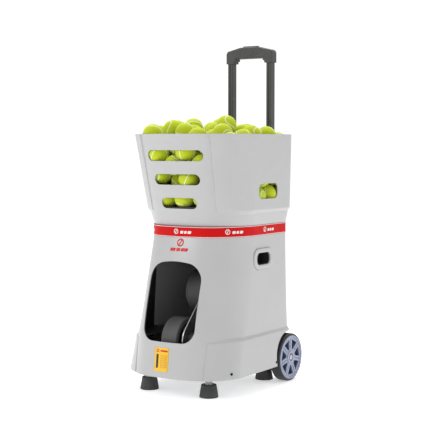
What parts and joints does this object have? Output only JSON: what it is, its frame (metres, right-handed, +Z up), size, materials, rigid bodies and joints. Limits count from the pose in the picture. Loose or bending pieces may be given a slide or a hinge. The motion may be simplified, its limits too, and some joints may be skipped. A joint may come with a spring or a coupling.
{
  "type": "tennis ball machine",
  "caption": "Upright tennis ball throwing machine: flared hopper with viewing slots, feed rotor, swinging two-wheel throwing head, trolley wheels and telescopic handle.",
  "frame": {"origin": "on the floor, under the centre of the overall box", "axes": "+Z up; -Y towards the side that throws the balls; +X to the machine's right seen from behind"},
  "size_m": [0.412, 0.5379, 1.124],
  "materials": {
    "shell": "satin moulded",
    "band": "satin",
    "black_plastic": "satin",
    "feed_plastic": "satin",
    "tread_rubber": "ground matt",
    "hub_black": "satin",
    "foot_rubber": "matt",
    "tyre": "matt",
    "wheel_rim": "satin",
    "steel": "brushed",
    "zinc_plate": "zinc plated",
    "motor_case": "satin",
    "gear_nylon": "satin",
    "handle_tube": "satin anodised",
    "handle_plastic": "fine texture",
    "black_screw": "black oxide"
  },
  "bodies": {
    "machine": {"axle_brackets": "zinc_plate", "axles": "steel", "base_plate": "zinc_plate", "battery": "black_plastic", "battery_strap": "steel", "body_shell": "shell", "charge_inlet": "black_plastic", "control_box": "black_plastic", "drop_tube": "black_plastic", "feed_motor": "motor_case", "foot_pads": "foot_rubber", "foot_studs": "steel", "grip_bezel_left": "shell", "grip_bezel_right": "shell", "grip_cup_left": "black_plastic", "grip_cup_right": "black_plastic", "handle_saddles": "handle_plastic", "hopper_shell": "shell", "hopper_tray": "black_plastic", "hub_caps": "steel", "liner_floor": "black_plastic", "mouth_liner": "black_plastic", "neck_band": "band", "outer_tubes": "handle_tube", "rear_panel": "black_plastic", "skirt_screws": "black_screw", "switch_housing": "black_plastic", "tube_collars": "handle_plastic", "yaw_bracket": "zinc_plate", "yaw_motor": "motor_case", "yaw_post": "gear_nylon"},
    "feed": {"feed_rotor": "feed_plastic", "feed_cap": "feed_plastic", "feed_shaft": "steel"},
    "swing": {"yaw_platform": "zinc_plate", "yaw_sector": "gear_nylon", "ball_chute": "black_plastic", "upright": "zinc_plate", "tilt_motor": "motor_case"},
    "swing_pinion": {"yaw_pinion": "gear_nylon"},
    "head": {"head_plate": "zinc_plate", "tilt_pin": "steel", "tilt_sector": "gear_nylon", "upper_motor": "motor_case", "lower_motor": "motor_case"},
    "head_pinion": {"tilt_pinion": "gear_nylon"},
    "upper_throw_wheel": {"upper_tread": "tread_rubber", "upper_hub": "hub_black", "upper_shaft": "steel"},
    "lower_throw_wheel": {"lower_tread": "tread_rubber", "lower_hub": "hub_black", "lower_shaft": "steel"},
    "wheel_left": {"tyre_left": "tyre", "rim_left": "wheel_rim"},
    "wheel_right": {"tyre_right": "tyre", "rim_right": "wheel_rim"},
    "handle": {"inner_tubes": "handle_tube", "grip_handle": "handle_plastic"},
    "button": {"release_button": "handle_plastic"},
    "rocker": {"power_rocker": "black_plastic"}
  },
  "joints": [
    {"name": "feed_rotor_spin", "type": "hinge", "parent": "machine", "child": "feed", "pos_m": [0, 0.0045, 0.56], "axis": [0, 0, 1], "continuous": true},
    {"name": "head_swing", "type": "hinge", "parent": "machine", "child": "swing", "pos_m": [0, 0.0765, 0.075], "axis": [0, 0, 1], "range_deg": [-8, 8]},
    {"name": "swing_pinion_spin", "type": "hinge", "parent": "machine", "child": "swing_pinion", "pos_m": [0, 0.1485, 0.08], "axis": [0, 0, 1], "range_deg": [-41, 41]},
    {"name": "head_tilt", "type": "hinge", "parent": "swing", "child": "head", "pos_m": [0.05, -0.103, 0.241], "axis": [1, 0, 0], "range_deg": [-6, 16]},
    {"name": "tilt_pinion_spin", "type": "hinge", "parent": "swing", "child": "head_pinion", "pos_m": [0.05, -0.04258, 0.18265], "axis": [1, 0, 0], "range_deg": [-97, 37]},
    {"name": "upper_throw_wheel_spin", "type": "hinge", "parent": "head", "child": "upper_throw_wheel", "pos_m": [0, -0.03458, 0.31185], "axis": [1, 0, 0], "continuous": true},
    {"name": "lower_throw_wheel_spin", "type": "hinge", "parent": "head", "child": "lower_throw_wheel", "pos_m": [0, -0.17142, 0.17014], "axis": [1, 0, 0], "continuous": true},
    {"name": "left_wheel_roll", "type": "hinge", "parent": "machine", "child": "wheel_left", "pos_m": [-0.19, 0.1755, 0.079], "axis": [1, 0, 0], "continuous": true},
    {"name": "right_wheel_roll", "type": "hinge", "parent": "machine", "child": "wheel_right", "pos_m": [0.19, 0.1755, 0.079], "axis": [1, 0, 0], "continuous": true},
    {"name": "handle_slide", "type": "slide", "parent": "machine", "child": "handle", "axis": [0, 0, 1], "range_m": [-0.25, 0]},
    {"name": "button_press", "type": "slide", "parent": "handle", "child": "button", "axis": [0, 0, 1], "range_m": [-0.004, 0], "stiffness_N_per_m": 800, "springref_m": 0.001},
    {"name": "power_switch", "type": "hinge", "parent": "machine", "child": "rocker", "pos_m": [-0.026, 0.207, 0.36], "axis": [1, 0, 0], "range_deg": [-8, 8]}
  ],
  "couplings": [
    {"joint": "swing_pinion_spin", "follows": "head_swing", "ratio": -5},
    {"joint": "tilt_pinion_spin", "follows": "head_tilt", "ratio": -6}
  ]
}
